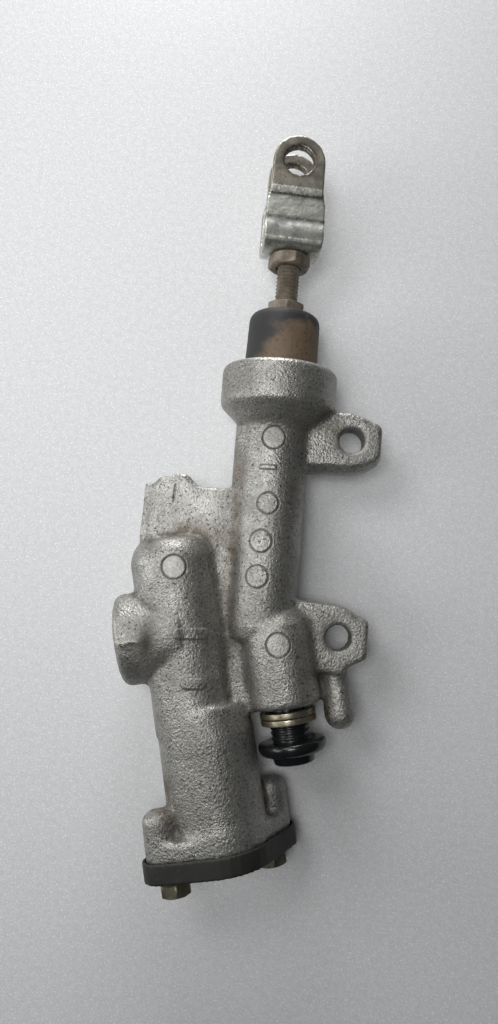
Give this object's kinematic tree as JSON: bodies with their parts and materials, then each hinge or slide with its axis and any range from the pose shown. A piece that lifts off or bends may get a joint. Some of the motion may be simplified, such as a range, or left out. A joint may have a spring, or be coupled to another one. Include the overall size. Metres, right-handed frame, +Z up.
{
  "type": "rear brake master cylinder",
  "caption": "Cast brake master cylinder with an integral fluid reservoir, a booted push rod with a fork clevis, two mounting lugs and a plugged outlet port.",
  "frame": {"origin": "middle of the footprint at the lowest point, with the cylinder lying on its side", "axes": "+Z up, +Y along the main bore towards the clevis, +X towards the mounting lugs"},
  "size_m": [0.0648, 0.194, 0.03],
  "materials": {
    "casting": "rough die casting with a weathered clear coat",
    "anodised": "hard anodised and polished",
    "steel": "plain spring and stamped steel",
    "zinc": "worn zinc plate, dirty",
    "zinc_tan": "tarnished zinc plate, brown",
    "zinc_olive": "olive zinc plate",
    "washer_metal": "smooth pale gold",
    "rubber": "moulded black rubber",
    "black_cap": "satin, nearly black",
    "black_plug": "glossy black",
    "window": "clear moulded window"
  },
  "bodies": {
    "housing": {"cylinder_body": "casting", "stopper_washer": "zinc", "circlip": "steel", "return_spring": "steel", "reservoir_cap": "black_cap", "diaphragm": "rubber", "diaphragm_plate": "black_cap", "cap_screw_left": "zinc_olive", "cap_screw_right": "zinc_olive", "sight_glass": "window", "sight_glass_seal": "rubber", "sight_glass_ring": "steel"},
    "plunger": {"piston": "anodised", "primary_cup": "rubber", "secondary_cup": "rubber", "spring_seat": "steel"},
    "boot": {"dust_boot": "rubber"},
    "rod": {"push_rod": "zinc_tan", "lock_nut": "zinc_tan", "clevis": "zinc"},
    "plug": {"port_plug": "black_plug"},
    "washers": {"sealing_washer_inner": "washer_metal", "sealing_washer_outer": "washer_metal"}
  },
  "joints": [
    {"name": "piston_stroke", "type": "slide", "parent": "housing", "child": "plunger", "axis": [0, -1, 0], "range_m": [0, 0.01], "stiffness_N_per_m": 1500, "springref_m": -0.005, "deforming": ["return_spring", "dust_boot"]},
    {"name": "push_rod_tilt", "type": "hinge", "parent": "plunger", "child": "boot", "pos_m": [0.0048, 0.02161, 0.015], "axis": [0, 0, 1], "range_deg": [-3, 3], "stiffness_Nm_per_rad": 0.02},
    {"name": "push_rod_spin", "type": "hinge", "parent": "boot", "child": "rod", "pos_m": [0.0048, 0.02161, 0.015], "axis": [0, 1, 0], "continuous": true},
    {"name": "plug_pull", "type": "slide", "parent": "housing", "child": "plug", "axis": [0.2233, -0.9748, 0], "range_m": [0, 0.0058]},
    {"name": "washer_slide", "type": "slide", "parent": "plug", "child": "washers", "axis": [0.2233, -0.9748, 0], "range_m": [0, 0.0038]}
  ]
}
